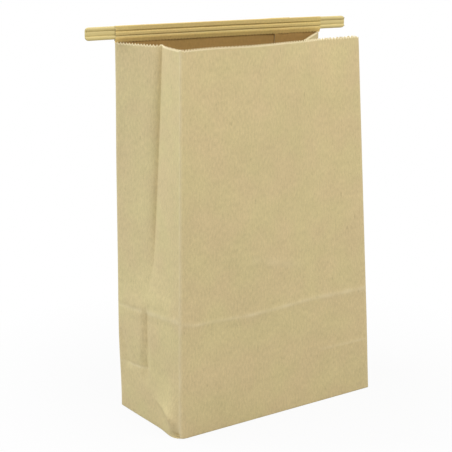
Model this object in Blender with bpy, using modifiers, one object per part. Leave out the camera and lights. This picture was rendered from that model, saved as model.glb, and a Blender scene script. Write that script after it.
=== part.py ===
"""A flat-bottomed kraft paper bag with side gussets and a wire tie folded into its back lip.

The bag is one sheet of paper: a gusseted tube with a glued seam in the back, a pasted bottom,
a serrated mouth, and a back lip that is folded forward over the tie. The tie is a ribbon with
two steel wires in its ribs. Metres, +Z up, origin at the middle of the base, front towards -Y.
"""
import math

import bmesh
import bpy
from mathutils import Vector

MM = 0.001

# Driving dimensions of the flat bag
bag_width = 152.4 * MM
bag_depth = 69.85 * MM
bag_height = 234.95 * MM
paper = 0.25 * MM
tooth_pitch = 2.1 * MM
tooth_depth = 0.9 * MM

# How far the bag is opened: the gusset folds lie this deep in the mouth
left_fold_depth = 11.3 * MM
right_fold_depth = 28.9 * MM
# Where each side's fold leaves the flat lower part of the side, as a share of the bag's depth
left_fold_start = 1.12
right_fold_start = 0.5
side_swell = 1.8 * MM
# How far the mouth's corners lean from a square tube
front_left_lean = 2.2 * MM
front_right_lean = 1.1 * MM
back_left_lean = 0.9 * MM
back_right_lean = 1.8 * MM
left_mouth_shift = 2.5 * MM
right_mouth_shift = 2.9 * MM
back_bow = 1.5 * MM
# The front mouth edge's gentle wave: share of its width, and how far it stands off the chord
mouth_wave = ((0.0, 0.0), (0.15, 1.3), (0.38, -5.0), (0.62, -2.6), (0.77, 0.4), (0.9, -2.4), (1.0, 0.0))

# Pasted bottom
flap_overlap = 20.0 * MM
flap_inset = 0.15 * MM
# Glued long seam in the back panel
seam_edge = 40.8 * MM
seam_overlap = 11.0 * MM
seam_step = 0.1 * MM

# Tie, in the back lip
tie_width = 7.94 * MM
tie_overhang = 20.0 * MM
tie_film = 0.35 * MM
tie_corner = 1.5 * MM
rib_width = 2.4 * MM
rib_thickness = 1.2 * MM
rib_lead = 0.06 * MM
wire_diameter = 0.7 * MM
wire_clearance = 0.08 * MM
wire_spacing = 5.3 * MM
wire_recess = 0.2 * MM
rib_inset = 0.1 * MM
bore_excess = 1.0 * MM
tie_clearance = 0.2 * MM
tie_above_mouth = 1.8 * MM
# The lip is pressed over the tie: its three flat crowns, the two grooves between them and its hem
groove_spacing = 2.9 * MM
groove_depth = 0.45 * MM
lip_crown = 0.6 * MM
hem_above_mouth = 0.35 * MM

# Fineness of the mesh
front_columns = 12
gusset_columns = 3
back_columns = 5
fold_segments = 6
round_segments = 16
ribbon_stations = 12
rod_stations = 13

# Places that follow from the sizes above
floor_height = 2 * paper
glue_gap = 0.4 * MM
tie_bottom = bag_height + tie_above_mouth
tie_top = tie_bottom + tie_width
tie_middle = (tie_bottom + tie_top) / 2
tie_back = paper + tie_clearance
rib_centre = tie_back + rib_thickness / 2 + rib_lead
lip_front = rib_centre + rib_thickness / 2 + tie_clearance + paper
fold_radius = lip_front / 2
fold_centre = tie_top - (fold_radius - paper) / 2
lip_groove = lip_front - groove_depth
lip_edge = bag_height + hem_above_mouth
lip_edge_front = 2 * paper + glue_gap


def mix(first, last, share):
    """Point or number between two others."""
    return first + (last - first) * share


def eased(points, place):
    """Value at a place on a smooth curve that levels out at each of the given points."""
    for (start, low), (end, high) in zip(points, points[1:]):
        if place <= end:
            share = (place - start) / (end - start)
            return mix(low, high, (1 - math.cos(math.pi * share)) / 2)
    return points[-1][1]


def mouth_half_gap(fold_depth):
    """Half the distance between two edges whose gusset is folded in by a depth."""
    return math.sqrt((bag_depth / 2) ** 2 - fold_depth ** 2)


half_width = bag_width / 2
half_depth = bag_depth / 2
left_gap = mouth_half_gap(left_fold_depth)
right_gap = mouth_half_gap(right_fold_depth)
# Corners of the bag in plan, at the base and at the mouth
CORNERS = {
    "front_left": (Vector((-half_width, -half_depth)),
                   Vector((-half_width + front_left_lean, -left_mouth_shift - left_gap))),
    "front_right": (Vector((half_width, -half_depth)),
                    Vector((half_width - front_right_lean, right_mouth_shift - right_gap))),
    "back_right": (Vector((half_width, half_depth)),
                   Vector((half_width - back_right_lean, right_mouth_shift + right_gap))),
    "back_left": (Vector((-half_width, half_depth)),
                  Vector((-half_width - back_left_lean, -left_mouth_shift + left_gap))),
}


def corner(name, height):
    """Plan position of one vertical edge at a height."""
    base, mouth = CORNERS[name]
    return mix(base, mouth, min(height / bag_height, 1.0))


def side_point(first, second, inward, fold_depth, fold_start, share, height):
    """Point on a gusseted side: flat and slightly swollen below, folded inwards above."""
    edge = mix(corner(first, height), corner(second, height), share)
    start = fold_start * bag_depth
    towards_fold = 1 - abs(2 * share - 1)
    if height > start:
        depth = fold_depth * math.sqrt((height - start) / (bag_height - start))
    else:
        depth = -side_swell * math.sin(math.pi * height / start)
    return edge + Vector((inward * depth * towards_fold, 0))


def front_point(share, height):
    """Point on the front panel, which waves more towards the mouth."""
    wave = eased(mouth_wave, share) * MM * (height / bag_height) ** 1.5
    return mix(corner("front_left", height), corner("front_right", height), share) + Vector((0, wave))


def back_point(share, height):
    """Point on the back panel, which bows backwards towards the mouth."""
    bow = back_bow * 4 * share * (1 - share) * min(height / bag_height, 1.0)
    return mix(corner("back_right", height), corner("back_left", height), share) + Vector((0, bow))


def wall_point(panel, share, height):
    """Point on the bag's outer face; the panels run anticlockwise from the back left edge."""
    if panel == "left":
        place = side_point("back_left", "front_left", 1, left_fold_depth, left_fold_start, share, height)
    elif panel == "front":
        place = front_point(share, height)
    elif panel == "right":
        place = side_point("front_right", "back_right", -1, right_fold_depth, right_fold_start,
                           share, height)
    else:
        place = back_point(share, height)
    return Vector((place.x, place.y, height))


def behind_mouth(along, inward, height):
    """Point by the lip: along the back panel's line, inwards from its outer face, and up."""
    share = 0.5 - along / bag_width
    place = back_point(share, bag_height)
    ahead = back_point(share - 0.01, bag_height)
    run = (ahead - place).normalized()
    return Vector((place.x + run.y * inward, place.y - run.x * inward, height))


def seam_share(across):
    """Share along the back panel, from its right edge, of a place across the bag."""
    return (half_width - across) / bag_width


def panel_columns():
    """Columns of the wall, from the back left edge round to it again.

    Each is its panel, its share along it, its plies of paper and how far its outer face stands out.
    In the glued seam the plies cross over, so the outer one ends outside and the inner one inside.
    """
    columns = []
    for panel, count in (("left", 2 * gusset_columns), ("front", front_columns),
                         ("right", 2 * gusset_columns), ("back", 1)):
        columns += [(panel, step / count, 1, 0.0) for step in range(count)]
    outer_end = seam_edge + seam_overlap
    columns += [
        ("back", seam_share(outer_end + seam_step), 1, 0.0),
        ("back", seam_share(outer_end), 2, paper),
        ("back", seam_share(seam_edge), 2, 0.0),
    ]
    plain_start = seam_share(seam_edge - seam_step)
    columns += [("back", mix(plain_start, 1.0, step / back_columns), 1, 0.0)
                for step in range(back_columns + 1)]
    return columns


def wall_rows():
    """Heights of the wall's rows: the base, the creases, the starts of the folds and the mouth."""
    left_start = left_fold_start * bag_depth
    upper = [mix(left_start, bag_height, share) for share in (0.06, 0.16, 0.28, 0.45, 0.7)]
    lower = [floor_height, 0.18 * bag_depth, 0.35 * bag_depth, right_fold_start * bag_depth,
             0.56 * bag_depth, 0.7 * bag_depth, bag_depth, left_start]
    return lower + upper + [bag_height - 3 * tooth_depth, bag_height]


def lip_profile():
    """The lip's outer face as (inwards, height): up, over the tie, into its two grooves and down."""
    points = [(0.0, mix(bag_height, tie_bottom, 0.3)), (0.0, tie_middle), (0.0, fold_centre)]
    for step in range(1, fold_segments):
        turn = math.pi * step / fold_segments
        points.append((fold_radius * (1 - math.cos(turn)), fold_centre + fold_radius * math.sin(turn)))
    crowns = (tie_middle + wire_spacing / 2, tie_middle, tie_middle - wire_spacing / 2)
    for place, height in enumerate(crowns):
        if place:
            points.append((lip_groove, tie_middle + (1.5 - place) * groove_spacing))
        points += [(lip_front, height + lip_crown / 2), (lip_front, height - lip_crown / 2)]
    return points + [(lip_edge_front, lip_edge)]


def new_object(name, mesh, collection):
    """Object with a mesh in a collection."""
    made = bpy.data.objects.new(name, mesh)
    collection.objects.link(made)
    return made


def object_from(bm, name, collection):
    """Object with a new mesh taken from a bmesh."""
    mesh = bpy.data.meshes.new(name)
    bm.to_mesh(mesh)
    bm.free()
    return new_object(name, mesh, collection)


def as_operand(made):
    """Marks an object as one that only takes part in a Boolean."""
    made.hide_render = True
    made.display_type = "WIRE"
    return made


def combine(target, operand, operation):
    """Exact Boolean of a target with an operand."""
    boolean = target.modifiers.new(operation.lower() + "_" + operand.name, "BOOLEAN")
    boolean.operation = operation
    boolean.solver = "EXACT"
    boolean.object = operand


def cut_teeth(bm, edges):
    """Serrates boundary edges: whole teeth along each, with every other new point notched in."""
    for edge in edges:
        start = edge.verts[0].co.copy()
        run = (edge.verts[1].co - start).normalized()
        inwards = edge.link_faces[0].calc_center_median() - start
        notch = (inwards - run * inwards.dot(run)).normalized() * tooth_depth
        teeth = max(1, round(edge.calc_length() / tooth_pitch))
        split = bmesh.ops.bisect_edges(bm, edges=[edge], cuts=2 * teeth - 1)
        points = [item for item in split["geom_split"] if isinstance(item, bmesh.types.BMVert)]
        points.sort(key=lambda point: (point.co - start).length)
        for point in points[::2]:
            point.co += notch


def tube_of_paper():
    """The gusseted tube as an open surface, with each point's plies as its weight."""
    columns, rows = panel_columns(), wall_rows()
    last_column, last_row = len(columns) - 1, len(rows) - 1
    bm = bmesh.new()
    bmesh.ops.create_grid(bm, x_segments=last_column, y_segments=last_row, size=0.5)
    weights = bm.verts.layers.deform.verify()
    for vert in bm.verts:
        panel, share, plies, outward = columns[round((vert.co.x + 0.5) * last_column)]
        row = round((vert.co.y + 0.5) * last_row)
        place = wall_point(panel, share, rows[row])
        vert.co = place + Vector((0, outward if row else 0.0, 0))
        vert[weights][0] = plies / 2 if row else 0.5
    bmesh.ops.remove_doubles(bm, verts=bm.verts, dist=0.01 * MM)
    return bm


def rim_edges(bm, height):
    """Boundary edges that lie at a height."""
    return [edge for edge in bm.edges
            if edge.is_boundary and all(abs(vert.co.z - height) < 0.01 * MM for vert in edge.verts)]


def behind_line(point):
    """Whether a point lies in the back panel and not in a gusset or the front."""
    share = (corner("back_right", bag_height).x - point.x) / bag_width
    return point.y > back_point(share, bag_height).y - 0.1 * MM


def add_lip(bm):
    """Draws the back panel up from the mouth, over the tie and down again."""
    weights = bm.verts.layers.deform.verify()
    edges = [edge for edge in rim_edges(bm, bag_height) if all(behind_line(v.co) for v in edge.verts)]
    verts = {vert for edge in edges for vert in edge.verts}
    centre = (corner("back_right", bag_height) + corner("back_left", bag_height)) / 2
    run = (corner("back_right", bag_height) - corner("back_left", bag_height)).normalized()
    places = {vert: (vert.co.xy - centre).dot(run) for vert in verts}
    for inward, height in lip_profile():
        fresh = bmesh.ops.extrude_edge_only(bm, edges=edges)["geom"]
        edges = [item for item in fresh if isinstance(item, bmesh.types.BMEdge)
                 and item.is_boundary and all(v not in places for v in item.verts)]
        moved = {}
        for vert in {vert for edge in edges for vert in edge.verts}:
            nearest = min(places, key=lambda old: (old.co - vert.co).length)
            moved[vert] = places[nearest]
        for vert, along in moved.items():
            vert.co = behind_mouth(along, inward, height)
            vert[weights][0] = 0.5
        places = moved
    return edges


def paper_sheet(collection):
    """The whole sheet: tube, lip, floor and teeth, thickened inwards to the paper's thickness."""
    bm = tube_of_paper()
    floor = bmesh.ops.edgeloop_fill(bm, edges=rim_edges(bm, floor_height))["faces"]
    for face in floor:
        if face.normal.z > 0:
            face.normal_flip()
    lip_rim = add_lip(bm)
    cut_teeth(bm, rim_edges(bm, bag_height) + lip_rim)
    bmesh.ops.triangulate(bm, faces=bm.faces)
    sheet = object_from(bm, "paper_bag", collection)
    sheet.vertex_groups.new(name="plies")
    solidify = sheet.modifiers.new("paper_thickness", "SOLIDIFY")
    solidify.vertex_group = "plies"
    solidify.thickness = 2 * paper
    solidify.offset = -1.0
    solidify.use_even_offset = True
    return sheet


def bottom_flap(name, side, underside, collection):
    """A pasted flap under the floor, with corners folded in at 45 degrees."""
    length = (bag_depth + flap_overlap) / 2 if side < 0 else bag_depth - flap_inset
    length = min(length, half_depth + flap_overlap / 2)
    top = floor_height + paper / 2
    bm = bmesh.new()
    bmesh.ops.create_cube(bm, size=1.0)
    for vert in bm.verts:
        inner_end = vert.co.y * side < 0
        half = half_width - flap_inset - (length if inner_end else 0)
        reach = half_depth - flap_inset - (length if inner_end else 0)
        vert.co = (math.copysign(half, vert.co.x), side * reach, top if vert.co.z > 0 else underside)
    bmesh.ops.recalc_face_normals(bm, faces=bm.faces)
    return as_operand(object_from(bm, name, collection))


def make_bag(parts, operands):
    """The paper bag with its pasted bottom."""
    bag = paper_sheet(parts)
    combine(bag, bottom_flap("back_bottom_flap", 1, paper, operands), "UNION")
    combine(bag, bottom_flap("front_bottom_flap", -1, 0.0, operands), "UNION")
    return bag


def bend_to_lip(bm, stations):
    """Bends straight stock, which lies along X with Y inwards, to the back panel's line."""
    length = bag_width + 2 * tie_overhang
    for step in range(1, stations):
        everything = bm.verts[:] + bm.edges[:] + bm.faces[:]
        bmesh.ops.bisect_plane(bm, geom=everything, dist=0.001 * MM,
                               plane_co=(mix(-length / 2, length / 2, step / stations), 0, 0),
                               plane_no=(1, 0, 0))
    for vert in bm.verts:
        vert.co = behind_mouth(vert.co.x, vert.co.y, vert.co.z)
    # Inwards is towards -Y, so the bend mirrors the faces
    bmesh.ops.reverse_faces(bm, faces=bm.faces)


def rod(name, thickness, width, length, height, collection):
    """Round or oval bar along the tie, at the ribs' distance from the back panel."""
    bm = bmesh.new()
    bmesh.ops.create_cone(bm, cap_ends=True, segments=round_segments, radius1=thickness / 2,
                          radius2=thickness / 2, depth=length)
    for vert in bm.verts:
        vert.co = (vert.co.z, rib_centre + vert.co.x, height + vert.co.y * width / thickness)
    bend_to_lip(bm, rod_stations)
    return object_from(bm, name, collection)


def make_tie_strip(parts, operands):
    """The tie's ribbon: a flat film with rounded ends and two ribs, each with a bore for a wire."""
    length = bag_width + 2 * tie_overhang
    bm = bmesh.new()
    bmesh.ops.create_cube(bm, size=1.0)
    for vert in bm.verts:
        vert.co = (vert.co.x * length, tie_back + (vert.co.y + 0.5) * tie_film,
                   tie_middle + vert.co.z * tie_width)
    ends = [edge for edge in bm.edges if abs(edge.verts[0].co.y - edge.verts[1].co.y) > tie_film / 2]
    bmesh.ops.bevel(bm, geom=ends, offset=tie_corner, segments=4, profile=0.5, affect="EDGES")
    bend_to_lip(bm, ribbon_stations)
    strip = object_from(bm, "tie_strip", parts)
    for place, height in (("upper", tie_middle + wire_spacing / 2),
                          ("lower", tie_middle - wire_spacing / 2)):
        rib = rod(place + "_rib", rib_thickness, rib_width, length - rib_inset, height, operands)
        combine(strip, as_operand(rib), "UNION")
        bore_diameter = wire_diameter + 2 * wire_clearance
        bore = rod(place + "_bore", bore_diameter, bore_diameter, length + bore_excess, height, operands)
        combine(strip, as_operand(bore), "DIFFERENCE")
    return strip


def make_tie_wire(place, height, parts):
    """One of the two steel wires, ending just inside the ribbon's cut ends."""
    length = bag_width + 2 * tie_overhang - 2 * wire_recess
    wire = rod("tie_wire_" + place, wire_diameter, wire_diameter, length, height, parts)
    wire.data.shade_smooth()
    wire.data.set_sharp_from_angle(angle=math.radians(40))
    return wire


def finish(made, name, colour, roughness, metallic=0.0):
    """Gives an object its own plain material."""
    material = bpy.data.materials.new(name)
    material.use_nodes = True
    shader = material.node_tree.nodes["Principled BSDF"]
    shader.inputs["Base Color"].default_value = (*colour, 1.0)
    shader.inputs["Roughness"].default_value = roughness
    shader.inputs["Metallic"].default_value = metallic
    made.data.materials.clear()
    made.data.materials.append(material)


def main():
    for old in list(bpy.data.objects):
        bpy.data.objects.remove(old, do_unlink=True)
    parts = bpy.data.collections.new("paper_bag_with_tin_tie")
    operands = bpy.data.collections.new("boolean_operands")
    for collection in (parts, operands):
        bpy.context.scene.collection.children.link(collection)
    finish(make_bag(parts, operands), "kraft_paper", (0.57, 0.44, 0.22), 0.85)
    finish(make_tie_strip(parts, operands), "tie_ribbon", (0.62, 0.49, 0.24), 0.5)
    for place, side in (("upper", 1), ("lower", -1)):
        wire = make_tie_wire(place, tie_middle + side * wire_spacing / 2, parts)
        finish(wire, "steel_wire_" + place, (0.6, 0.6, 0.6), 0.35, 1.0)


main()
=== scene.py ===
"""Looks of a standing kraft paper bag with side gussets and a wire tie in its back lip.

The bag is one flat sheet, cut out as the real one is: its points are laid out flat first and then
folded into place. Lengths are in millimetres until a mesh is written, in metres.
"""
import math

import bmesh
import bpy
from mathutils import Matrix, Vector, noise


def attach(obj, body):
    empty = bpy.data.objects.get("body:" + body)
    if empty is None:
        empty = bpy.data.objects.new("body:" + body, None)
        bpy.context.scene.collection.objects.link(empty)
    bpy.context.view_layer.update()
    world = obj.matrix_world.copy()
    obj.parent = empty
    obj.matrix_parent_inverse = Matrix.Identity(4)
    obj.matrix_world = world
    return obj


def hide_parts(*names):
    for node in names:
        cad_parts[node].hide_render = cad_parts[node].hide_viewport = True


MM = 0.001

# Flat bag
bag_width = 152.4
bag_depth = 69.85
bag_height = 234.95
half_width = bag_width / 2
half_depth = bag_depth / 2
paper = 0.2
ply_gap = 0.03
seam_edge = 40.8
seam_far = 51.8
seam_fade = 13.0
flap_reach = 44.9

# How far the seam's inner edge has come loose, inwards
seam_lift = 0.6
seam_lift_width = 2.5
seam_lift_start = 60.0
seam_lift_rise = 40.0

# How far it is opened
left_fold_depth = 11.3
right_fold_depth = 28.9
left_fold_start = 78.0
right_fold_start = 35.0
right_fold_sink = 3.2
right_swell = 1.8
front_left_lean = 2.2
front_right_lean = 1.1
back_left_lean = 0.9
back_right_lean = 1.8
left_mouth_shift = 2.5
right_mouth_shift = 2.9
back_bow = 1.5
# Front mouth from left to right: share of its width, and how far it stands in
mouth_wave = ((0.0, 0.0), (0.15, 1.3), (0.38, -5.0), (0.62, -2.6), (0.77, 0.4), (0.9, -2.4), (1.0, 0.0))
# Dip of the mouth at its front right corner
mouth_dip = 1.6
mouth_dip_width = 2.6
mouth_dip_start = 229.0
mouth_dip_rise = 6.0

# Tie
tie_length = 193.3
tie_shift = -0.95
tie_width = 7.94
tie_above_mouth = 1.8
tie_back = 0.45
tie_film = 0.35
tie_corner = 2.4
rib_half_width = 1.22
rib_height = 0.76
middle_height = 0.42
wire_spacing = 5.3
wire_bore = 0.86
bore_front = 0.66
bore_length = 5.0
ribbon_edge_round = 0.16
ribbon_edge_share = 0.04
tie_middle = bag_height + tie_above_mouth + tie_width / 2

# Lip pressed over the tie, with two grooves, and its thin hem
lip_front = 1.93
groove_spacing = 2.9
lip_groove_depth = 0.6
lip_groove_width = 0.42
hem_groove_width = 0.24
fold_radius = lip_front / 2
fold_centre = tie_middle + 3.7
hem_start = tie_middle - 3.2
hem_front = 1.82
hem_edge = bag_height - 0.3
hem_edge_front = 0.55
hem_shade_rise = 0.4
fold_height = 0.5
lip_groove_middle = tie_middle - 0.65
lip_crumple = 0.05
lip_crumple_top = bag_height + 12
lip_crumple_fade = 3.0

# Folds and cut edges
fold_round = 1.0
gusset_round = 0.5
base_round = 0.8
tooth_depth = 1.35
lip_tooth_share = 0.51
shortest_tooth = 0.8
mouth_rise = 0.5

# Mesh of the sheet and the ribbon
column_pitch = 2.3
row_pitch = 2.2
fine_row_pitch = 0.9
mouth_row = 1.8
FOLD_COLUMNS = (-0.8, -0.35, 0.0, 0.35, 0.8)
UNDER_ROWS = (-flap_reach, -40.0, -half_depth, -34.4, -28.0, -20.0, -12.0, -5.0, -2.0, -0.9, -0.4)
FOOT_ROWS = (0.0, 0.4, 0.9, 1.6, 2.6, 4.0, 5.6, 7.4)
first_wall_row = 9.4
FINE_BANDS = ((0.0, 27.0), (30.0, 36.5), (67.5, 76.0))
LIP_ROWS = (1.25, 3.05, 5.05, 7.05, 8.45)
fold_steps = 9
lip_steps = 30
hem_steps = 4
ribbon_stations = 64
ribbon_levels = 44

# Lengths along the sheet, from the seam's outer edge anticlockwise round the bag
at_back_left = half_width + seam_far
at_left_fold = at_back_left + half_depth
at_front_left = at_back_left + bag_depth
at_front_right = at_front_left + bag_width
at_right_fold = at_front_right + half_depth
at_back_right = at_front_right + bag_depth
sheet_width = at_back_right + half_width - seam_edge
SHARP_FOLDS = (at_left_fold, at_right_fold)
FOLDS = (at_back_left, at_left_fold, at_front_left, at_front_right, at_right_fold, at_back_right)

# Creases in the flat sheet: both ends as along and up, height, half width, and how much paler they are
# painted, worn by rubbing and partly a painted highlight
left = at_back_left
front = at_front_left
CREASES = (
    ((left + 0.5, 69.8), (left + 28.0, 72.0), -0.42, 1.5, 0.8),
    ((left + 35.0, 72.6), (left + 69.0, 74.6), 0.40, 2.2, 0.9),
    ((left + 0.8, 31.8), (left + 33.4, 34.7), -0.38, 1.1, 0.9),
    ((left + 32.6, 35.0), (left + 33.4, 24.0), -0.6, 1.0, 0.0),
    ((left + 3.5, 50.0), (left + 10.5, 34.0), -1.3, 2.8, 0.0),
    ((front + 0.5, 73.6), (front + 12.0, 70.8), 0.18, 1.3, 0.7),
    ((front + 12.0, 70.8), (front + 50.0, 69.4), 0.18, 1.3, 0.8),
    ((front + 50.0, 69.4), (front + 104.0, 70.4), 0.22, 1.5, 1.0),
    ((front + 104.0, 70.4), (front + 150.0, 69.3), 0.22, 1.8, 1.0),
    ((front + 112.0, 34.9), (front + 150.0, 34.4), 0.14, 1.0, 0.8),
    ((front + 56.0, 104.0), (front + 95.0, 94.0), 0.16, 3.0, 0.35),
    ((at_back_right + 1.0, 69.6), (sheet_width, 70.2), 0.22, 0.9, 0.6),
    ((0.0, 70.2), (at_back_left - 1.0, 69.8), 0.22, 0.9, 0.6),
    ((at_front_right + 1.0, 70.4), (at_front_right + 34.0, 69.4), 0.35, 1.2, 0.6),
    ((at_front_right + 36.0, 69.4), (at_front_right + 69.0, 70.6), 0.35, 1.2, 0.6),
)
# How far a crease reaches, in half widths, and how its paler line, worn by rubbing and partly a painted
# highlight, is narrowed and patched
crease_reach = 3.0
highlight_narrowing = 1.6
highlight_patches = 0.11
# Width of the paler line on an upright fold, worn by rubbing and partly a painted highlight
fold_highlight_width = 1.1
# Handled paper stays calm near its folds and near the base
fold_calm = 5.0
base_calm = 25.0

# How far the left side stands out up its height, and how full its arch is
side_arch = 0.8
SIDE_SWELL = ((0.0, 0.3), (12.0, 0.1), (33.0, -0.3), (58.0, 1.3), (74.0, 1.3), (100.0, 0.0))
# Upright valley in its middle, steep on its back side and broad on its front side
valley_depth = 2.3
valley_middle = half_depth - 2.5
valley_shift = 2.6
valley_turn = 34.0
valley_turn_rise = 20.0
valley_back_width = 3.2
valley_front_width = 6.5
valley_start = 22.0
valley_end = 68.0
valley_fade = 12.0
# Heights where its back half begins to fold in and is folded in
back_half_start = 73.0
back_half_full = 102.0
# The same for its front half: at the gusset's fold, then towards the front edge, where it is a facet
facet_start = 80.0
facet_full = 103.0
facet_edge_start = 82.5
facet_edge_band = 1.5
facet_blend_start = 0.1
facet_blend = 0.86
# Pinch of the gusset's fold, sharper on its back side
fold_pinch = 2.5
pinch_back_width = 1.8
pinch_front_width = 5.0
pinch_start = 90.0
pinch_rise = 50.0
# Line of the diagonal fold to the front left corner of the bottom
crest_height = 14.9
crest_fall = 10.0
crest_turn = 5.0
crest_slope = 0.1
# Bulge over that fold and down to the floor, with its distances from the corner
corner_fade = 6.0
bulge_middle = 7.0
foot_bulge = 1.7
foot_width = 10.0
ridge_bulge = 3.2
ridge_length = 23.0
ridge_drop = 8.5
ridge_rise = 7.0
# Small pocket under the bulge's low end
pocket_depth = 3.0
pocket_middle = 4.0
pocket_width = 2.8
pocket_height = 2.8
pocket_corner_fade = 1.5
pocket_foot_fade = 0.9
pocket_top_fade = 2.0
# Lift of the corner itself off the floor
corner_lift = 0.8
corner_lift_width = 2.0

# Finishes, as scene linear colours
paper_colour = (0.60, 0.495, 0.262)
# Inner face: the paper darkened and deepened, painted shade for the shaded inside of the bag
inside_painted_shade_colour = (0.38, 0.238, 0.075)
# Over the tie the paper is darker in tone, painted shade; its hem is lighter, painted light against the
# shade it gets by facing down
lip_painted_shade_colour = (0.61, 0.475, 0.185)
hem_painted_light_colour = (0.80, 0.605, 0.222)
cut_edge_colour = (0.90, 0.79, 0.50)
ribbon_colour = (0.61, 0.505, 0.222)
steel_colour = (0.62, 0.62, 0.63)
scratched_steel_colour = (0.45, 0.45, 0.46)
# Paler colour of the folds: worn by rubbing and partly a painted highlight
rubbed_highlight_colour = (0.78, 0.68, 0.44)

# Camera: millimetres and degrees
camera_lens = 96.61
camera_distance = 778.2
camera_azimuth = -35.25
camera_elevation = 13.785
camera_target = (-11.57, 8.18, 116.19)

# Floor: its matte tone, and how white the camera sees it, near the bag and further off in metres
floor_tone = 0.55
floor_near = 0.11
floor_near_white = 0.93
floor_far = 0.26

# Light: each lamp's name, direction, distance, size, power and colour
world_light = 0.73
lamp_aim_height = 0.12
LAMPS = (
    ("front_lamp", (0.15, -1.0, 1.75), 0.76, 0.4, 3.1, (1.0, 0.965, 0.955)),
    ("side_lamp", (-1.0, 0.6, 1.1), 0.9, 0.75, 4.8, (0.86, 0.93, 1.0)),
)


def mix(first, last, share):
    """Point or number between two others."""
    return first + (last - first) * share


def ease(share):
    """Smooth step from 0 to 1."""
    share = min(max(share, 0.0), 1.0)
    return share * share * (3 - 2 * share)


def eased(points, place):
    """Value at a place on a smooth curve that levels out at each of the given points."""
    for (start, low), (end, high) in zip(points, points[1:]):
        if place <= end:
            share = (place - start) / (end - start)
            return mix(low, high, (1 - math.cos(math.pi * share)) / 2)
    return points[-1][1]


def mouth_half_gap(fold_depth):
    """Half the distance between two edges whose gusset is folded in by a depth."""
    return math.sqrt(half_depth ** 2 - fold_depth ** 2)


left_gap = mouth_half_gap(left_fold_depth)
right_gap = mouth_half_gap(right_fold_depth)
# Corners in plan, at the base and at the mouth
CORNERS = {
    "front_left": (Vector((-half_width, -half_depth)),
                   Vector((-half_width + front_left_lean, -left_mouth_shift - left_gap))),
    "front_right": (Vector((half_width, -half_depth)),
                    Vector((half_width - front_right_lean, right_mouth_shift - right_gap))),
    "back_right": (Vector((half_width, half_depth)),
                   Vector((half_width - back_right_lean, right_mouth_shift + right_gap))),
    "back_left": (Vector((-half_width, half_depth)),
                  Vector((-half_width - back_left_lean, -left_mouth_shift + left_gap))),
}
# How far two upright edges have sprung out above the base, across and (below the mouth) outwards
CORNER_SWELL = {"back_left": (-1.0, 0.7), "front_right": (0.5, 0.0)}
swell_start = 4.0
swell_rise = 50.0
swell_end = 215.0
swell_fade = 60.0


def corner(name, height):
    """Plan position of one vertical edge at a height."""
    base, mouth = CORNERS[name]
    across, outwards = CORNER_SWELL.get(name, (0.0, 0.0))
    outwards *= ease((swell_end - height) / swell_fade)
    swell = Vector((across, outwards)) * ease((height - swell_start) / swell_rise)
    return mix(base, mouth, min(height / bag_height, 1.0)) + swell


def back_point(share, height):
    """Point on the back panel, from its right edge, in plan."""
    bow = back_bow * 4 * share * (1 - share) * min(height / bag_height, 1.0)
    return mix(corner("back_right", height), corner("back_left", height), share) + Vector((0, bow))


def front_point(share, height):
    """Point on the front panel, from its left edge, in plan."""
    wave = eased(mouth_wave, share) * (height / bag_height) ** 1.5
    return mix(corner("front_left", height), corner("front_right", height), share) + Vector((0, wave))


def left_fold_inward(height):
    """How far the left gusset's fold lies in at a height."""
    rise = max(height - left_fold_start, 0.0) / (bag_height - left_fold_start)
    return left_fold_depth * math.sqrt(rise)


def left_inward(share, height):
    """How far the left side lies in from its edges' line: folded above, swollen below."""
    along = share * bag_depth
    forward = 2 * share - 1
    tent = 1 - abs(forward)
    if forward < 0:
        start, full = back_half_start, back_half_full
    else:
        start = mix(facet_start, facet_edge_start, forward)
        blend = ease((forward - facet_blend_start) / facet_blend)
        full = mix(facet_full, start + facet_edge_band, blend)
    beside = along - half_depth
    pinch = math.exp(-abs(beside) / (pinch_back_width if beside < 0 else pinch_front_width)) - tent
    pinch *= fold_pinch * ease((height - pinch_start) / pinch_rise)
    if height >= full:
        return tent * left_fold_inward(height) + pinch
    level = min(max((height - start) / (full - start), 0.0), 1.0)
    return mix(low_side_inward(along, height), tent * left_fold_inward(full), level) + pinch


def low_side_inward(along, height):
    """Shape of the left side under its gusset: a valley up its middle and a bulge to the corner."""
    arch = math.sin(math.pi * along / bag_depth) ** side_arch
    inward = -eased(SIDE_SWELL, height) * arch
    beside = along - valley_middle
    beside += valley_shift * (1 - ease((height - valley_turn) / valley_turn_rise))
    width = valley_back_width if beside < 0 else valley_front_width
    depth = valley_depth * ease((height - valley_start) / valley_fade)
    depth *= 1 - ease((height - valley_end) / valley_fade)
    inward += depth * max(0.0, 1 - abs(beside) / width)
    to_corner = bag_depth - along
    crest = crest_height - crest_fall * math.exp(-to_corner / crest_turn) + crest_slope * to_corner
    from_bulge = to_corner - bulge_middle
    near = ease(to_corner / corner_fade)
    size = near * min(1.0, max(0.0, 1 - from_bulge / ridge_length))
    foot = near * foot_bulge * math.exp(-(from_bulge / foot_width) ** 2)
    pocket = math.exp(-((to_corner - pocket_middle) / pocket_width) ** 2)
    pocket *= ease(to_corner / pocket_corner_fade) * ease(height / pocket_foot_fade)
    pocket *= 1 - ease((height - pocket_height) / pocket_top_fade)
    inward += pocket_depth * pocket
    if height > crest:
        return inward - (foot + ridge_bulge * size) * math.exp((crest - height) / ridge_rise)
    return inward - foot - ridge_bulge * max(0.0, size - (crest - height) / ridge_drop)


def right_inward(share, height):
    """How far the right side lies in from its edges' line."""
    tent = 1 - abs(2 * share - 1)
    if height > right_fold_start:
        rise = (height - right_fold_start) / (bag_height - right_fold_start)
        return tent * right_fold_depth * math.sqrt(rise)
    return -right_swell * math.sin(math.pi * height / right_fold_start) * math.sin(math.pi * share)


def seam_proud(along):
    """How far the outer ply of the seam, and the paper next to it, stands out."""
    return (paper + ply_gap) * (1 - ease((along - (seam_far - seam_edge)) / seam_fade))


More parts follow.
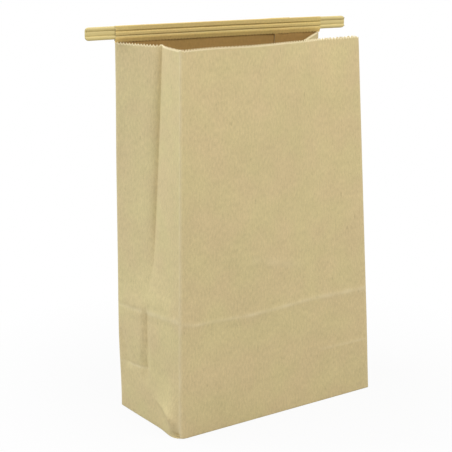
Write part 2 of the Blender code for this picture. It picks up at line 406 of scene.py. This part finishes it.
def panel_at(along):
    """Panel at a length along the sheet, and the share along that panel."""
    if along < at_back_left:
        return "back", (half_width - seam_far + along) / bag_width
    if along < at_front_left:
        return "left", (along - at_back_left) / bag_depth
    if along < at_front_right:
        return "front", (along - at_front_left) / bag_width
    if along < at_back_right:
        return "right", (along - at_front_right) / bag_depth
    return "back", (along - at_back_right) / bag_width


OUTWARD = {"back": Vector((0, 1, 0)), "left": Vector((-1, 0, 0)), "front": Vector((0, -1, 0)),
           "right": Vector((1, 0, 0))}
# How high the front and the back panel's flap lie over the floor
front_level = 0.02
back_level = 0.5


def wall_place(along, height):
    """Point on a wall before its creases are added."""
    panel, share = panel_at(along)
    sunk = 0.0
    if panel == "left":
        plan = mix(corner("back_left", height), corner("front_left", height), share)
        plan.x += left_inward(share, height)
    elif panel == "right":
        plan = mix(corner("front_right", height), corner("back_right", height), share)
        plan.x -= right_inward(share, height)
        rise = max(height - right_fold_start, 0.0) / (bag_height - right_fold_start)
        sunk = right_fold_sink * (1 - abs(2 * share - 1)) * rise
    elif panel == "front":
        plan = front_point(share, height)
    else:
        plan = back_point(share, height)
        if along < at_back_left:
            plan.y += seam_proud(along)
        else:
            lift = seam_lift * ease((height - seam_lift_start) / seam_lift_rise)
            plan.y -= lift * math.exp(-((sheet_width - along) / seam_lift_width) ** 2)
    return Vector((plan.x, plan.y, height - sunk))


def bottom_place(along, reach):
    """Point under the bag, a reach in from the base edge: each panel's end is folded to a mitre."""
    panel, share = panel_at(along)
    mitre = min(reach, half_depth)
    if panel == "front":
        return Vector(((2 * share - 1) * (half_width - mitre), reach - half_depth, front_level))
    if panel == "back":
        level = back_level - (seam_proud(along) if along < at_back_left else 0.0)
        return Vector(((1 - 2 * share) * (half_width - mitre), half_depth - reach, level))
    if panel == "left":
        level = mix(back_level, front_level, share)
        foot = low_side_inward(share * bag_depth, 0.0) * (1 - ease(reach / 12))
        return Vector((mitre - half_width + foot, (1 - 2 * share) * (half_depth - mitre), level))
    level = mix(front_level, back_level, share)
    return Vector((half_width - mitre, (2 * share - 1) * (half_depth - mitre), level))


def to_fold(along):
    """Distance along the sheet to the nearest upright fold, and whether that is a gusset's."""
    nearest = min(FOLDS, key=lambda fold: abs(fold - along))
    return abs(nearest - along), nearest in SHARP_FOLDS


def segment_gap(along, height, first, last):
    """Distance from a flat point to a line between two others."""
    run = Vector(last) - Vector(first)
    point = Vector((along, height)) - Vector(first)
    share = min(max(point.dot(run) / run.length_squared, 0.0), 1.0)
    return (point - run * share).length


def crease_relief(along, height):
    """Height of the creases at a flat point, and how much paler they are painted there, worn by rubbing
    and partly a painted highlight.
    """
    relief = 0.0
    rub_highlight = 0.0
    for first, last, stand, half, pale_highlight in CREASES:
        gap = segment_gap(along, height, first, last) / half
        if gap < crease_reach:
            relief += stand * math.exp(-gap * gap)
            patchy = 0.6 + 0.6 * noise.noise(Vector((along * highlight_patches, height * highlight_patches, 4.0)))
            rub_highlight = max(rub_highlight, pale_highlight * math.exp(-gap * gap * highlight_narrowing) * patchy)
    return relief, rub_highlight


def cockle(place):
    """Slight unevenness of handled paper, from broad swells to fine ripples."""
    broad = noise.noise(Vector((place.x, place.y, place.z)) / 46)
    middle = noise.noise(Vector((place.x + 90, place.y, place.z * 0.8)) / 17)
    fine = noise.noise(Vector((place.x, place.y + 70, place.z)) / 6.5)
    return 0.55 * broad + 0.16 * middle + 0.035 * fine


def rounded(place, gap, radius):
    """Point on a path that turns at 0, with the turn rounded off over a radius each way."""
    if abs(gap) >= radius:
        return place(gap)
    middle, after, before = place(0.0), place(radius), place(-radius)
    ahead = ((gap + radius) / (2 * radius)) ** 2
    behind = ((radius - gap) / (2 * radius)) ** 2
    return middle + (after - middle) * ahead + (before - middle) * behind


def folded_place(along, up):
    """Point of the sheet in its folded place, for walls and bottom, with rounded folds."""
    fold = min(FOLDS, key=lambda place: abs(place - along))
    radius = gusset_round if fold in SHARP_FOLDS else fold_round

    def upright(level):
        if level < 0:
            return bottom_place(along, -level)
        return rounded(lambda gap: wall_place(fold + gap, level), along - fold, radius)

    return rounded(upright, up, base_round)


def lip_profile():
    """Outer face of the lip: each row's way in, height and the direction that it faces."""
    rows = [(0.0, bag_height + rise, math.pi) for rise in LIP_ROWS]
    for step in range(fold_steps + 1):
        turn = math.pi * step / fold_steps
        rows.append((fold_radius * (1 - math.cos(turn)), fold_centre + fold_height * math.sin(turn),
                     math.pi - turn))
    low_groove = lip_groove_middle - groove_spacing / 2
    for step in range(1, lip_steps + 1):
        height = mix(fold_centre, hem_start, step / lip_steps)
        below = height < low_groove
        level, width = (hem_front, hem_groove_width) if below else (lip_front, lip_groove_width)
        dip = math.exp(-((height - low_groove - groove_spacing) / lip_groove_width) ** 2)
        dip += math.exp(-((height - low_groove) / width) ** 2)
        rows.append((level - lip_groove_depth * dip, height, 0.0))
    for step in range(1, hem_steps + 1):
        share = step / hem_steps
        rows.append((mix(hem_front, hem_edge_front, share), mix(hem_start, hem_edge, share), 0.0))
    return rows


def lip_place(along, row):
    """Point of the lip at a length along the sheet."""
    inward, height, facing = row
    if along <= at_back_left:
        share = (half_width - seam_far + along) / bag_width
        inward += seam_proud(along) * math.cos(facing)
        height += seam_proud(along) * math.sin(facing)
    else:
        share = (along - at_back_right) / bag_width
    if facing < 1:
        crumple = lip_crumple * noise.noise(Vector((share * 40, height * 0.5, 2.0)))
        inward += crumple * ease((lip_crumple_top - height) / lip_crumple_fade)
    place = back_point(share, bag_height)
    run = (back_point(share - 0.01, bag_height) - place).normalized()
    return Vector((place.x + run.y * inward, place.y - run.x * inward, height))


def sheet_columns():
    """Lengths along the sheet of its columns, closer together at the folds."""
    stops = (0.0,) + FOLDS + (sheet_width,)
    columns = {0.0, sheet_width, seam_far - seam_edge, at_back_right + half_width - seam_far}
    for start, end in zip(stops, stops[1:]):
        count = round((end - start) / column_pitch)
        columns.update(round(mix(start, end, step / count), 4) for step in range(1, count))
    for fold in FOLDS:
        columns.update(round(fold + gap, 4) for gap in FOLD_COLUMNS)
    return sorted(columns)


def sheet_rows():
    """Rows of the flat sheet: reaches under the bag below zero, then heights up the walls."""
    rows = list(UNDER_ROWS + FOOT_ROWS)
    height = first_wall_row
    while height < bag_height - 2 * mouth_row:
        rows.append(height)
        fine = any(low < height < high for low, high in FINE_BANDS)
        height += fine_row_pitch if fine else row_pitch
    return rows + [bag_height - mouth_row, bag_height]


def add_grid(name, columns, rows):
    """Flat grid primitive with that many points each way."""
    bpy.ops.object.select_all(action="DESELECT")
    bpy.ops.mesh.primitive_grid_add(x_subdivisions=columns - 1, y_subdivisions=rows - 1, size=2)
    made = bpy.context.object
    made.name = name
    return made


def cut_teeth(bm, edges, torn):
    """Serrates edges: the middle of each is notched in, square to the edge in its face."""
    for edge in edges:
        start = edge.verts[0].co.copy()
        run = (edge.verts[1].co - start).normalized()
        inwards = edge.link_faces[0].calc_center_median() - start
        notch = (inwards - run * inwards.dot(run)).normalized() * tooth_depth * MM
        depth = min(1.0, edge.calc_length() / (column_pitch * MM)) * edge.verts[0][torn]
        split = bmesh.ops.bisect_edges(bm, edges=[edge], cuts=1)
        for item in split["geom_split"]:
            if isinstance(item, bmesh.types.BMVert):
                item.co += notch * depth
                item[torn] = edge.verts[0][torn]


def sheet_place(along, up):
    """Point of the walls or the bottom at a flat point, and how much paler the paper is painted there,
    worn by rubbing and partly a painted highlight.
    """
    place = folded_place(along, up)
    gap, sharp = to_fold(along)
    if up == bag_height and at_back_left < along < at_back_right:
        place.z += mouth_rise
    dip = mouth_dip * math.exp(-((along - at_front_right) / mouth_dip_width) ** 2)
    place.z -= dip * ease((up - mouth_dip_start) / mouth_dip_rise)
    rub_highlight = 0.0
    if up > 0:
        relief, rub_highlight = crease_relief(along, up)
        relief += cockle(place) * ease(up / base_calm)
        place += OUTWARD[panel_at(along)[0]] * relief * ease(gap / fold_calm)
    low_corner = Vector((along - at_front_left, up)).length
    place.z += corner_lift * math.exp(-(low_corner / corner_lift_width) ** 2)
    # Paler line along each rounded fold: worn by rubbing and partly a painted highlight
    if not sharp:
        patchy = 0.75 + 0.5 * noise.noise(Vector((up * 0.09, along * 0.02, 7.0)))
        rub_highlight = max(rub_highlight, patchy * math.exp(-(gap / fold_highlight_width) ** 2))
    return place, min(1.0, max(0.0, rub_highlight))


def is_cut_away(face, where, columns, rows):
    """Whether a face of the grid is no paper: over the mouth, or past the short flaps of the sides."""
    low = min(where[vert][1] for vert in face.verts)
    middle = sum(columns[where[vert][0]] for vert in face.verts) / 4
    in_back = middle < at_back_left or middle > at_back_right
    in_side = not in_back and not at_front_left < middle < at_front_right
    if low >= len(rows) - 1:
        return not in_back
    return in_side and rows[low] < -half_depth


def shape_sheet(bm, columns, rows, lip):
    """Folds the flat grid into the bag, and cuts it to its outline."""
    rubbed_highlight = bm.verts.layers.float.new("rubbed_highlight")
    torn = bm.verts.layers.float.new("torn")
    lip_hem_painted_light = bm.verts.layers.float.new("lip_hem_painted_light")
    flat = bm.loops.layers.uv.verify()
    lip_turned = next(step for step, row in enumerate(lip) if row[2] < 2)
    where = {}
    for vert in bm.verts:
        where[vert] = (round((vert.co.x + 1) / 2 * (len(columns) - 1)),
                       round((vert.co.y + 1) / 2 * (len(rows) + len(lip) - 1)))
    for vert, (column, row) in where.items():
        along = columns[column]
        if row < len(rows):
            place, vert[rubbed_highlight] = sheet_place(along, rows[row])
            in_mouth = row == len(rows) - 1 and at_back_left <= along <= at_back_right
            vert[torn] = 1.0 if in_mouth else 0.0
        else:
            step = row - len(rows)
            place = lip_place(along, lip[step])
            vert[torn] = lip_tooth_share if step == len(lip) - 1 else 0.0
            # Lip over the tie marked for painted shade, its hem for painted light
            if step >= lip_turned:
                vert[lip_hem_painted_light] = 1.0 if place.z < hem_start + hem_shade_rise else 0.5
        vert.co = place * MM
    for face in bm.faces:
        for loop in face.loops:
            column, row = where[loop.vert]
            up = rows[row] if row < len(rows) else bag_height + 0.5 * (row - len(rows) + 1)
            loop[flat].uv = (columns[column] * MM, up * MM)
    cut_away = [face for face in bm.faces if is_cut_away(face, where, columns, rows)]
    bmesh.ops.delete(bm, geom=cut_away, context="FACES")
    bmesh.ops.remove_doubles(bm, verts=bm.verts, dist=0.004 * MM)
    toothed = [edge for edge in bm.edges if edge.is_boundary
               and all(vert[torn] > 0.5 for vert in edge.verts)
               and edge.calc_length() > shortest_tooth * MM]
    cut_teeth(bm, toothed, torn)


def make_sheet():
    """The whole sheet: walls, mitred bottom, lip and serrated edges, then the paper's thickness."""
    columns, rows, lip = sheet_columns(), sheet_rows(), lip_profile()
    sheet = add_grid("kraft_sheet", len(columns), len(rows) + len(lip))
    mesh = sheet.data
    bm = bmesh.new()
    bm.from_mesh(mesh)
    shape_sheet(bm, columns, rows, lip)
    bm.to_mesh(mesh)
    bm.free()
    mesh.uv_layers[0].name = "flat_sheet"
    for finish in (kraft_paper, cut_paper, kraft_inside_painted_shade):
        mesh.materials.append(finish)
    thicken = sheet.modifiers.new("paper_thickness", "SOLIDIFY")
    thicken.thickness = paper * MM
    thicken.offset = -1.0
    # The inner faces take the darkened paper, painted shade
    thicken.material_offset = 2
    thicken.material_offset_rim = 1
    bpy.ops.object.modifier_apply(modifier=thicken.name)
    bpy.ops.object.shade_smooth_by_angle(angle=math.radians(40))
    return sheet


def ribbon_thickness(level):
    """Front face of the ribbon, out from its back, at a height from its middle."""
    front_face = tie_film
    for side in (-1, 1):
        part = (level - side * wire_spacing / 2) / rib_half_width
        if abs(part) < 1:
            front_face = max(front_face, tie_film + rib_height * math.sqrt(1 - part * part))
    part = level / (groove_spacing / 2)
    if abs(part) < 1:
        front_face = max(front_face, tie_film + middle_height * math.sqrt(1 - part * part))
    return front_face


def bent(along, inward, height):
    """Point by the lip, with the straight tie bent to the line between the back's plain corners."""
    share = 0.5 - along / bag_width
    place, ahead = [mix(CORNERS["back_right"][1], CORNERS["back_left"][1], part)
                    + Vector((0, back_bow * 4 * part * (1 - part))) for part in (share, share - 0.01)]
    run = (ahead - place).normalized()
    return Vector((place.x + run.y * inward, place.y - run.x * inward, height))


def cut_into(steps, direction):
    """Cuts the bar in edit mode into that many even lengths in a direction."""
    for step in range(1, steps):
        bpy.ops.mesh.select_all(action="SELECT")
        bpy.ops.mesh.bisect(plane_co=direction * mix(-1, 1, step / steps), plane_no=direction)


def drill_bores(ribbon):
    """Opens both ribs at both ends of the ribbon, where the wires lie."""
    bores = []
    for end in (-1, 1):
        for side in (-1, 1):
            level = tie_middle + side * wire_spacing / 2
            centre = bent(end * tie_length / 2 + tie_shift, tie_back + bore_front, level)
            ahead = bent(end * (tie_length / 2 + 1) + tie_shift, tie_back + bore_front, level)
            bpy.ops.mesh.primitive_cylinder_add(vertices=20, radius=wire_bore / 2 * MM,
                                                depth=bore_length * MM, location=centre * MM)
            bore = bpy.context.object
            bore.rotation_euler = (ahead - centre).to_track_quat("Z", "Y").to_euler()
            bores.append(bore)
    bpy.ops.object.select_all(action="DESELECT")
    bpy.context.view_layer.objects.active = ribbon
    ribbon.select_set(True)
    for bore in bores:
        cut = ribbon.modifiers.new("bore", "BOOLEAN")
        cut.operation = "DIFFERENCE"
        cut.object = bore
        bpy.ops.object.modifier_apply(modifier=cut.name)
        bpy.data.objects.remove(bore, do_unlink=True)


def make_ribbon():
    """The tie's ribbon: a bar cut into stations and levels, shaped to its ribs and bent."""
    bpy.ops.object.select_all(action="DESELECT")
    bpy.ops.mesh.primitive_cube_add(size=2)
    ribbon = bpy.context.object
    ribbon.name = "tie_ribbon"
    bpy.ops.object.mode_set(mode="EDIT")
    cut_into(ribbon_stations, Vector((1, 0, 0)))
    cut_into(ribbon_levels, Vector((0, 0, 1)))
    bpy.ops.object.mode_set(mode="OBJECT")
    for vert in ribbon.data.vertices:
        level = vert.co.z * tie_width / 2
        over = max(abs(level) - (tie_width / 2 - tie_corner), 0.0)
        end = tie_length / 2 - tie_corner + math.sqrt(max(tie_corner ** 2 - over ** 2, 0.0))
        at_edge = max(0.0, (abs(vert.co.z) - (1 - ribbon_edge_share)) / ribbon_edge_share)
        edge_round = ribbon_edge_round * at_edge
        thick = ribbon_thickness(level) - edge_round
        inward = tie_back + (thick if vert.co.y < 0 else edge_round * 0.5)
        vert.co = bent(vert.co.x * end + tie_shift, inward, tie_middle + level) * MM
    bm = bmesh.new()
    bm.from_mesh(ribbon.data)
    bmesh.ops.recalc_face_normals(bm, faces=bm.faces)
    bm.to_mesh(ribbon.data)
    bm.free()
    drill_bores(ribbon)
    ribbon.data.materials.append(ribbon_finish)
    bpy.ops.object.shade_smooth_by_angle(angle=math.radians(50))
    return ribbon


class Nodes:
    """Short way to place and wire shader nodes in a tree."""

    def __init__(self, tree):
        self.tree = tree

    def put(self, value, socket):
        """Links an output to a socket, or sets a plain value there."""
        if isinstance(value, bpy.types.NodeSocket):
            self.tree.links.new(value, socket)
        else:
            socket.default_value = value

    def add(self, kind, values=None, **settings):
        """New node, with settings and with values or links for its inputs."""
        node = self.tree.nodes.new(kind)
        for key, value in settings.items():
            setattr(node, key, value)
        for key, value in (values or {}).items():
            self.put(value, node.inputs[key])
        return node

    def math(self, operation, first, second):
        """Result of a Math node."""
        return self.add("ShaderNodeMath", {0: first, 1: second}, operation=operation).outputs[0]

    def sway(self, start, *patterns):
        """Sum of a start and of patterns round 0.5, each with how much it counts."""
        for pattern, share in patterns:
            swing = self.math("MULTIPLY", self.math("SUBTRACT", pattern, 0.5), share)
            start = self.math("ADD", start, swing)
        return start

    def ramp(self, value, start, end, low=0.0, high=1.0):
        """Value moved from one range to another, and kept inside it."""
        return self.add("ShaderNodeMapRange", {"Value": value, "From Min": start, "From Max": end,
                                               "To Min": low, "To Max": high}).outputs[0]

    def noise(self, vector, scale, detail=2.0, rough=0.5):
        """Value of a Noise Texture."""
        return self.add("ShaderNodeTexNoise", {"Vector": vector, "Scale": scale, "Detail": detail,
                                               "Roughness": rough}).outputs[0]

    def blend(self, factor, first, second, mode="MIX"):
        """Colour from a Mix node."""
        return self.add("ShaderNodeMix", {0: factor, 6: first, 7: second}, data_type="RGBA",
                        blend_type=mode).outputs[2]


def new_group(name, inputs, outputs):
    """Shader node group with named sockets, its nodes helper and its input node."""
    group = bpy.data.node_groups.new(name, "ShaderNodeTree")
    for label, kind, value in inputs:
        socket = group.interface.new_socket(label, in_out="INPUT", socket_type=kind)
        if value is not None:
            socket.default_value = value
    for label, kind in outputs:
        group.interface.new_socket(label, in_out="OUTPUT", socket_type=kind)
    helper = Nodes(group)
    return group, helper, helper.add("NodeGroupInput").outputs


def make_fibre_group():
    """Pulp fibres: colour flecks, mottling and a fine relief, running up the sheet."""
    group, nodes, given = new_group(
        "pulp_fibres",
        (("Vector", "NodeSocketVector", None), ("Color", "NodeSocketColor", (0.5, 0.4, 0.2, 1)),
         ("Contrast", "NodeSocketFloat", 1.0)),
        (("Color", "NodeSocketColor"), ("Height", "NodeSocketFloat"), ("Roughness", "NodeSocketFloat")))
    drawn = nodes.add("ShaderNodeMapping", {"Vector": given["Vector"], "Scale": (1.0, 0.42, 1.0)})
    fibre = nodes.noise(drawn.outputs[0], 820, 3.0, 0.62)
    grain = nodes.noise(given["Vector"], 1700, 2.0, 0.6)
    mottle = nodes.noise(given["Vector"], 95, 2.0, 0.5)
    cloud = nodes.noise(given["Vector"], 19, 2.0, 0.5)
    fleck = nodes.ramp(nodes.noise(drawn.outputs[0], 430, 2.0, 0.5), 0.66, 0.76)
    sway = nodes.sway(nodes.math("MULTIPLY", fleck, -0.10), (fibre, 0.34), (grain, 0.16),
                      (mottle, 0.10), (cloud, 0.08))
    level = nodes.math("ADD", nodes.math("MULTIPLY", sway, given["Contrast"]), 1.0)
    toned = nodes.add("ShaderNodeVectorMath", {0: given["Color"], "Scale": level}, operation="SCALE")
    warmth = nodes.ramp(nodes.noise(given["Vector"], 42, 1.0, 0.5), 0.35, 0.65)
    warm = nodes.blend(warmth, (1.0, 1.015, 0.985, 1), (1.012, 0.985, 1.0, 1))
    tinted = nodes.blend(1.0, toned.outputs[0], warm, "MULTIPLY")
    relief = nodes.math("ADD", fibre, nodes.math("MULTIPLY", grain, 0.5))
    rough = nodes.ramp(fibre, 0.3, 0.7, 0.80, 0.92)
    nodes.add("NodeGroupOutput", {"Color": tinted, "Height": relief, "Roughness": rough})
    return group


def new_material(name):
    """Material with an empty tree, its nodes helper and its Principled shader."""
    material = bpy.data.materials.new(name)
    material.use_nodes = True
    material.node_tree.nodes.clear()
    nodes = Nodes(material.node_tree)
    shader = nodes.add("ShaderNodeBsdfPrincipled")
    nodes.add("ShaderNodeOutputMaterial", {"Surface": shader.outputs[0]})
    return material, nodes, shader


def feed(nodes, shader, **sockets):
    """Links or sets the shader's inputs."""
    for label, value in sockets.items():
        nodes.put(value, shader.inputs[label.replace("_", " ").title().replace("Ior", "IOR")])


def bump(nodes, height, depth, strength):
    """Normal from a relief of a depth in millimetres."""
    return nodes.add("ShaderNodeBump", {"Height": height, "Distance": depth * MM,
                                        "Strength": strength}).outputs[0]


def fibres(nodes, vector, colour, contrast):
    """Pulp fibres placed in a material."""
    return nodes.add("ShaderNodeGroup", {"Vector": vector, "Color": colour, "Contrast": contrast},
                     node_tree=fibre_group).outputs


def make_kraft_paper(name, colour, over_tie_painted_shade, on_hem_painted_light):
    """Kraft paper, with painted shade over the tie and painted light on the hem, folds painted paler,
    worn by rubbing and partly a painted highlight, and paler teeth.
    """
    material, nodes, shader = new_material(name)
    flat = nodes.add("ShaderNodeUVMap", uv_map="flat_sheet").outputs[0]
    rubbed_highlight, torn, lip_hem_painted_light = [nodes.add("ShaderNodeAttribute", attribute_name=label).outputs["Fac"]
                             for label in ("rubbed_highlight", "torn", "lip_hem_painted_light")]
    # Painted shade over the tie and painted light on the hem
    base = nodes.blend(nodes.ramp(lip_hem_painted_light, 0.0, 0.5), (*colour, 1), (*over_tie_painted_shade, 1))
    base = nodes.blend(nodes.ramp(lip_hem_painted_light, 0.5, 1.0), base, (*on_hem_painted_light, 1))
    pulp = fibres(nodes, flat, base, 1.35)
    # Folds painted paler: worn by rubbing and partly a painted highlight
    pale_highlight = nodes.blend(nodes.math("MULTIPLY", rubbed_highlight, 0.45), pulp["Color"], (*rubbed_highlight_colour, 1))
    shown = nodes.blend(nodes.ramp(torn, 0.5, 0.95, 0.0, 0.95), pale_highlight, (*cut_edge_colour, 1))
    feed(nodes, shader, base_color=shown, roughness=pulp["Roughness"], specular_ior_level=0.3,
         normal=bump(nodes, pulp["Height"], 0.05, 0.6))
    return material


def make_cut_paper():
    """The paper's cut edge: bare pulp."""
    material, nodes, shader = new_material("kraft_cut_edge")
    flat = nodes.add("ShaderNodeUVMap", uv_map="flat_sheet").outputs[0]
    pulp = fibres(nodes, flat, (*cut_edge_colour, 1), 0.8)
    feed(nodes, shader, base_color=pulp["Color"], roughness=pulp["Roughness"],
         normal=bump(nodes, pulp["Height"], 0.04, 0.5))
    return material


def make_ribbon_finish():
    """Kraft-coloured film of the tie, drawn lengthwise."""
    material, nodes, shader = new_material("tie_ribbon")
    place = nodes.add("ShaderNodeTexCoord").outputs["Object"]
    drawn = nodes.add("ShaderNodeMapping", {"Vector": place, "Scale": (0.05, 0.05, 1.0)})
    streak = nodes.noise(drawn.outputs[0], 1500, 2.0, 0.5)
    blotch = nodes.noise(place, 160, 2.0, 0.5)
    level = nodes.sway(1.0, (streak, 0.12), (blotch, 0.10))
    toned = nodes.add("ShaderNodeVectorMath", {0: ribbon_colour, "Scale": level}, operation="SCALE")
    feed(nodes, shader, base_color=toned.outputs[0], specular_ior_level=0.25,
         roughness=nodes.ramp(streak, 0.3, 0.7, 0.42, 0.55), normal=bump(nodes, streak, 0.02, 0.4))
    return material


def make_steel():
    """Drawn steel wire, finely scratched along its length."""
    material, nodes, shader = new_material("tie_wire")
    place = nodes.add("ShaderNodeTexCoord").outputs["Object"]
    drawn = nodes.add("ShaderNodeMapping", {"Vector": place, "Scale": (0.1, 1.0, 1.0)})
    scratch = nodes.noise(drawn.outputs[0], 4000, 3.0, 0.6)
    tone = nodes.blend(nodes.ramp(scratch, 0.3, 0.7), (*steel_colour, 1), (*scratched_steel_colour, 1))
    feed(nodes, shader, base_color=tone, metallic=1.0, normal=bump(nodes, scratch, 0.01, 0.3),
         roughness=nodes.ramp(scratch, 0.3, 0.7, 0.25, 0.45))
    return material


def make_floor():
    """Pale floor, which shows white round the bag and keeps its shadow."""
    bpy.ops.object.select_all(action="DESELECT")
    bpy.ops.mesh.primitive_plane_add(size=60)
    floor = bpy.context.object
    floor.name = "floor"
    material = bpy.data.materials.new("pale_floor")
    material.use_nodes = True
    material.node_tree.nodes.clear()
    nodes = Nodes(material.node_tree)
    matte = nodes.add("ShaderNodeBsdfDiffuse", {"Color": (floor_tone, floor_tone, floor_tone, 1)})
    white = nodes.add("ShaderNodeEmission", {"Strength": 1.0})
    rays = nodes.add("ShaderNodeLightPath").outputs
    place = nodes.add("ShaderNodeTexCoord").outputs["Object"]
    away = nodes.add("ShaderNodeVectorMath", {0: place}, operation="LENGTH").outputs["Value"]
    whiteness = nodes.ramp(away, floor_near, floor_far, floor_near_white, 1.0)
    share = nodes.math("MULTIPLY", rays["Is Camera Ray"], whiteness)
    share = nodes.math("MAXIMUM", share, rays["Is Glossy Ray"])
    both = nodes.add("ShaderNodeMixShader", {0: share, 1: matte.outputs[0], 2: white.outputs[0]})
    nodes.add("ShaderNodeOutputMaterial", {"Surface": both.outputs[0]})
    floor.data.materials.append(material)
    return floor


def make_world():
    """Even studio light, with a white ground behind."""
    world = bpy.data.worlds.new("studio")
    world.use_nodes = True
    world.node_tree.nodes.clear()
    nodes = Nodes(world.node_tree)
    rays = nodes.add("ShaderNodeLightPath").outputs
    seen = nodes.math("MAXIMUM", rays["Is Camera Ray"], rays["Is Glossy Ray"])
    seen = nodes.math("MAXIMUM", seen, rays["Is Transmission Ray"])
    strength = nodes.ramp(seen, 0.0, 1.0, world_light, 1.0)
    back = nodes.add("ShaderNodeBackground", {"Color": (1, 1, 1, 1), "Strength": strength})
    nodes.add("ShaderNodeOutputWorld", {"Surface": back.outputs[0]})
    bpy.context.scene.world = world


def add_lamp(name, direction, distance, size, power, colour):
    """Square soft lamp that points at the bag from a direction."""
    lamp = bpy.data.objects.new(name, bpy.data.lights.new(name, "AREA"))
    lamp.data.size = size
    lamp.data.energy = power
    lamp.data.color = colour
    way = Vector(direction).normalized()
    lamp.location = Vector((0, 0, lamp_aim_height)) + way * distance
    lamp.rotation_euler = way.to_track_quat("Z", "Y").to_euler()
    bpy.context.scene.collection.objects.link(lamp)


def make_camera():
    """Camera at the photograph's viewing angle."""
    azimuth = math.radians(camera_azimuth)
    elevation = math.radians(camera_elevation)
    back = Vector((math.sin(azimuth) * math.cos(elevation), -math.cos(azimuth) * math.cos(elevation),
                   math.sin(elevation)))
    right = Vector((math.cos(azimuth), math.sin(azimuth), 0))
    up = back.cross(right)
    camera = bpy.data.objects.new("camera", bpy.data.cameras.new("camera"))
    camera.data.lens = camera_lens
    camera.data.sensor_width = 36.0
    turn = Matrix((right, up, back)).transposed().to_4x4()
    place = (Vector(camera_target) + back * camera_distance) * MM
    camera.matrix_world = Matrix.Translation(place) @ turn
    camera.data.clip_start = 0.01
    bpy.context.scene.collection.objects.link(camera)
    bpy.context.scene.camera = camera


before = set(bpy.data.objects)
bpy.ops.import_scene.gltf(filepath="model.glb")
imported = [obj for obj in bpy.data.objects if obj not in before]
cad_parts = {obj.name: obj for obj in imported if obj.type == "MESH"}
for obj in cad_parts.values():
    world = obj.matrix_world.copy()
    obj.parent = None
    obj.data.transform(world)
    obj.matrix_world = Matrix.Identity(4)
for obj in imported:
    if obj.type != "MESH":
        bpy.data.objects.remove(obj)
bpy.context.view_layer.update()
bpy.context.scene.view_settings.view_transform = "Standard"
make_camera()
make_world()
make_floor()
for lamp in LAMPS:
    add_lamp(*lamp)

fibre_group = make_fibre_group()
kraft_paper = make_kraft_paper("kraft_paper", paper_colour, lip_painted_shade_colour, hem_painted_light_colour)
# Inner face of the paper, darkened: painted shade
kraft_inside_painted_shade = make_kraft_paper("kraft_inside_painted_shade", inside_painted_shade_colour, inside_painted_shade_colour, inside_painted_shade_colour)
cut_paper = make_cut_paper()
ribbon_finish = make_ribbon_finish()
steel = make_steel()

sheet = make_sheet()
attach(sheet, "root")
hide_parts("paper_bag")

ribbon = make_ribbon()
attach(ribbon, "root")
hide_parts("tie_strip")

for name in ("tie_wire_upper", "tie_wire_lower"):
    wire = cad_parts[name]
    wire.data.materials.clear()
    wire.data.materials.append(steel)
